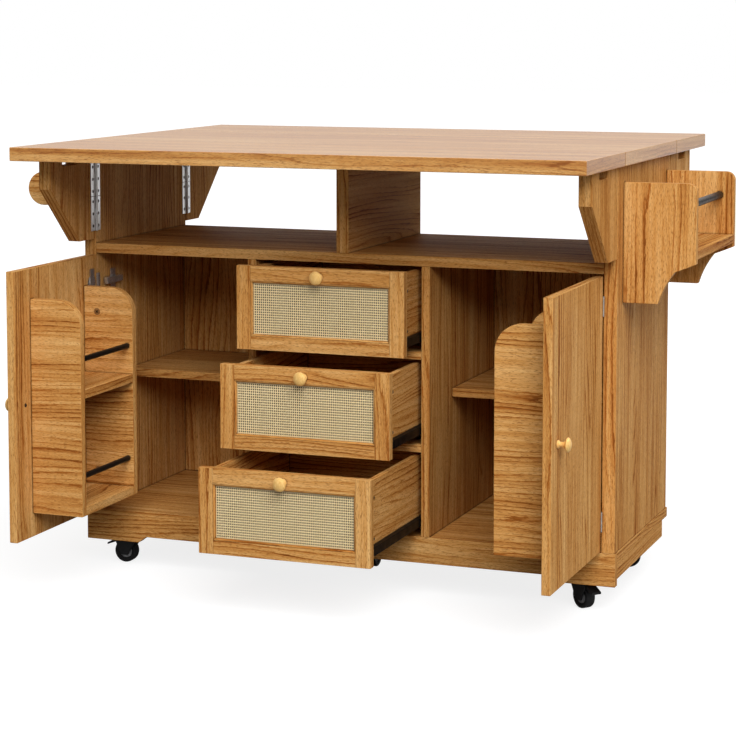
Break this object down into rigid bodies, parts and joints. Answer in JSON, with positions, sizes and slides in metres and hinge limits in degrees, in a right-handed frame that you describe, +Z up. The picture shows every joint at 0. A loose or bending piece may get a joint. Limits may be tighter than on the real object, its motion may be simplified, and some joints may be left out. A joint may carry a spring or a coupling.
{
  "type": "kitchen cart",
  "caption": "Rolling wooden kitchen island with a drop-leaf worktop on swing-out brackets, racked doors, cane-fronted drawers, open shelf, spice rack, towel rack and swivel casters.",
  "frame": {"origin": "on the floor, below the middle of the room that the cart takes up with its doors open and its leaves up", "axes": "+X to the right seen from the front, +Y to the rear, +Z up"},
  "size_m": [1.464, 1.0892, 0.922],
  "materials": {
    "wood": "satin",
    "cane": "matte",
    "knob_gold": "satin",
    "hinge_steel": "satin",
    "rod_dark": "satin",
    "runner_black": "satin",
    "caster_black": "satin",
    "wheel_black": "satin"
  },
  "bodies": {
    "cabinet": {"back_panel": "wood", "base_aprons": "wood", "base_board": "wood", "bay_dividers": "wood", "cabinet_shelves": "wood", "caster_blocks": "wood", "caster_plates": "caster_black", "centre_top": "wood", "deck_board": "wood", "door_hinge_arms": "hinge_steel", "drawer_rails": "wood", "fixed_hinge_flaps": "hinge_steel", "left_side_panel": "wood", "right_side_panel": "wood", "runner_rails": "runner_black", "spice_rack": "wood", "spice_rack_rod": "rod_dark", "towel_rack": "wood", "upper_divider": "wood"},
    "bottom_drawer": {"bottom_drawer_box": "wood", "bottom_drawer_cane": "cane", "bottom_drawer_front": "wood", "bottom_drawer_knob": "knob_gold", "bottom_drawer_runners": "runner_black"},
    "front_leaf": {"front_leaf": "wood"},
    "front_left_bracket": {"front_left_bracket": "wood"},
    "front_left_brake_pedal": {"front_left_brake_pedal": "caster_black"},
    "front_left_caster_fork": {"front_left_caster_fork": "caster_black"},
    "front_left_caster_wheel": {"front_left_caster_wheel": "wheel_black"},
    "front_right_bracket": {"front_right_bracket": "wood"},
    "front_right_brake_pedal": {"front_right_brake_pedal": "caster_black"},
    "front_right_caster_fork": {"front_right_caster_fork": "caster_black"},
    "front_right_caster_wheel": {"front_right_caster_wheel": "wheel_black"},
    "left_door": {"left_door": "wood", "left_door_hinge_cups": "hinge_steel", "left_door_knob": "knob_gold", "left_door_rack": "wood"},
    "middle_caster_fork": {"middle_caster_fork": "caster_black"},
    "middle_caster_wheel": {"middle_caster_wheel": "wheel_black"},
    "middle_drawer": {"middle_drawer_box": "wood", "middle_drawer_cane": "cane", "middle_drawer_front": "wood", "middle_drawer_knob": "knob_gold", "middle_drawer_runners": "runner_black"},
    "rear_leaf": {"rear_leaf": "wood"},
    "rear_left_bracket": {"rear_left_bracket": "wood"},
    "rear_left_caster_fork": {"rear_left_caster_fork": "caster_black"},
    "rear_left_caster_wheel": {"rear_left_caster_wheel": "wheel_black"},
    "rear_right_bracket": {"rear_right_bracket": "wood"},
    "rear_right_caster_fork": {"rear_right_caster_fork": "caster_black"},
    "rear_right_caster_wheel": {"rear_right_caster_wheel": "wheel_black"},
    "right_door": {"right_door": "wood", "right_door_hinge_cups": "hinge_steel", "right_door_knob": "knob_gold", "right_door_rack": "wood"},
    "top_drawer": {"top_drawer_box": "wood", "top_drawer_cane": "cane", "top_drawer_front": "wood", "top_drawer_knob": "knob_gold", "top_drawer_runners": "runner_black"}
  },
  "joints": [
    {"name": "front_leaf_lift", "type": "hinge", "parent": "cabinet", "child": "front_leaf", "pos_m": [0, -0.18645, 0.8906], "axis": [-1, 0, 0], "range_deg": [0, 3]},
    {"name": "rear_leaf_lift", "type": "hinge", "parent": "cabinet", "child": "rear_leaf", "pos_m": [0, 0.25755, 0.8906], "axis": [1, 0, 0], "range_deg": [0, 3]},
    {"name": "front_left_bracket_swing", "type": "hinge", "parent": "cabinet", "child": "front_left_bracket", "pos_m": [-0.5556, -0.18745, 0.804], "axis": [0, 0, 1], "range_deg": [0, 178]},
    {"name": "front_right_bracket_swing", "type": "hinge", "parent": "cabinet", "child": "front_right_bracket", "pos_m": [0.5556, -0.18745, 0.804], "axis": [0, 0, -1], "range_deg": [0, 178]},
    {"name": "rear_left_bracket_swing", "type": "hinge", "parent": "cabinet", "child": "rear_left_bracket", "pos_m": [-0.5556, 0.25855, 0.804], "axis": [0, 0, -1], "range_deg": [0, 178]},
    {"name": "rear_right_bracket_swing", "type": "hinge", "parent": "cabinet", "child": "rear_right_bracket", "pos_m": [0.5556, 0.25855, 0.804], "axis": [0, 0, 1], "range_deg": [0, 178]},
    {"name": "left_door_swing", "type": "hinge", "parent": "cabinet", "child": "left_door", "pos_m": [-0.56685, -0.1776, 0.403], "axis": [0, 0, 1], "range_deg": [-15, 90]},
    {"name": "right_door_swing", "type": "hinge", "parent": "cabinet", "child": "right_door", "pos_m": [0.5589, -0.18605, 0.403], "axis": [0, 0, -1], "range_deg": [-15, 90]},
    {"name": "top_drawer_slide", "type": "slide", "parent": "cabinet", "child": "top_drawer", "axis": [0, -1, 0], "range_m": [-0.1, 0.2]},
    {"name": "middle_drawer_slide", "type": "slide", "parent": "cabinet", "child": "middle_drawer", "axis": [0, -1, 0], "range_m": [-0.183, 0.117]},
    {"name": "bottom_drawer_slide", "type": "slide", "parent": "cabinet", "child": "bottom_drawer", "axis": [0, -1, 0], "range_m": [-0.288, 0.012]},
    {"name": "front_left_caster_swivel", "type": "hinge", "parent": "cabinet", "child": "front_left_caster_fork", "pos_m": [-0.5, -0.13445, 0.06], "axis": [0, 0, 1], "continuous": true},
    {"name": "front_left_caster_roll", "type": "hinge", "parent": "front_left_caster_fork", "child": "front_left_caster_wheel", "pos_m": [-0.518, -0.13445, 0.025], "axis": [0, 1, 0], "continuous": true},
    {"name": "front_left_brake_lift", "type": "hinge", "parent": "front_left_caster_fork", "child": "front_left_brake_pedal", "pos_m": [-0.534, -0.13445, 0.05], "axis": [0, 1, 0], "range_deg": [0, 12]},
    {"name": "front_right_caster_swivel", "type": "hinge", "parent": "cabinet", "child": "front_right_caster_fork", "pos_m": [0.5, -0.13445, 0.06], "axis": [0, 0, 1], "continuous": true},
    {"name": "front_right_caster_roll", "type": "hinge", "parent": "front_right_caster_fork", "child": "front_right_caster_wheel", "pos_m": [0.51399, -0.14578, 0.025], "axis": [-0.6293, -0.7771, 0], "continuous": true},
    {"name": "front_right_brake_lift", "type": "hinge", "parent": "front_right_caster_fork", "child": "front_right_brake_pedal", "pos_m": [0.52642, -0.15585, 0.05], "axis": [-0.6293, -0.7771, 0], "range_deg": [0, 12]},
    {"name": "rear_left_caster_swivel", "type": "hinge", "parent": "cabinet", "child": "rear_left_caster_fork", "pos_m": [-0.5, 0.20555, 0.06], "axis": [0, 0, 1], "continuous": true},
    {"name": "rear_left_caster_roll", "type": "hinge", "parent": "rear_left_caster_fork", "child": "rear_left_caster_wheel", "pos_m": [-0.491, 0.22114, 0.025], "axis": [0.866, -0.5, 0], "continuous": true},
    {"name": "rear_right_caster_swivel", "type": "hinge", "parent": "cabinet", "child": "rear_right_caster_fork", "pos_m": [0.5, 0.20555, 0.06], "axis": [0, 0, 1], "continuous": true},
    {"name": "rear_right_caster_roll", "type": "hinge", "parent": "rear_right_caster_fork", "child": "rear_right_caster_wheel", "pos_m": [0.51691, 0.21171, 0.025], "axis": [0.342, -0.9397, 0], "continuous": true},
    {"name": "middle_caster_swivel", "type": "hinge", "parent": "cabinet", "child": "middle_caster_fork", "pos_m": [0, 0.03555, 0.06], "axis": [0, 0, 1], "continuous": true},
    {"name": "middle_caster_roll", "type": "hinge", "parent": "middle_caster_fork", "child": "middle_caster_wheel", "pos_m": [0, 0.01755, 0.025], "axis": [-1, 0, 0], "continuous": true}
  ]
}
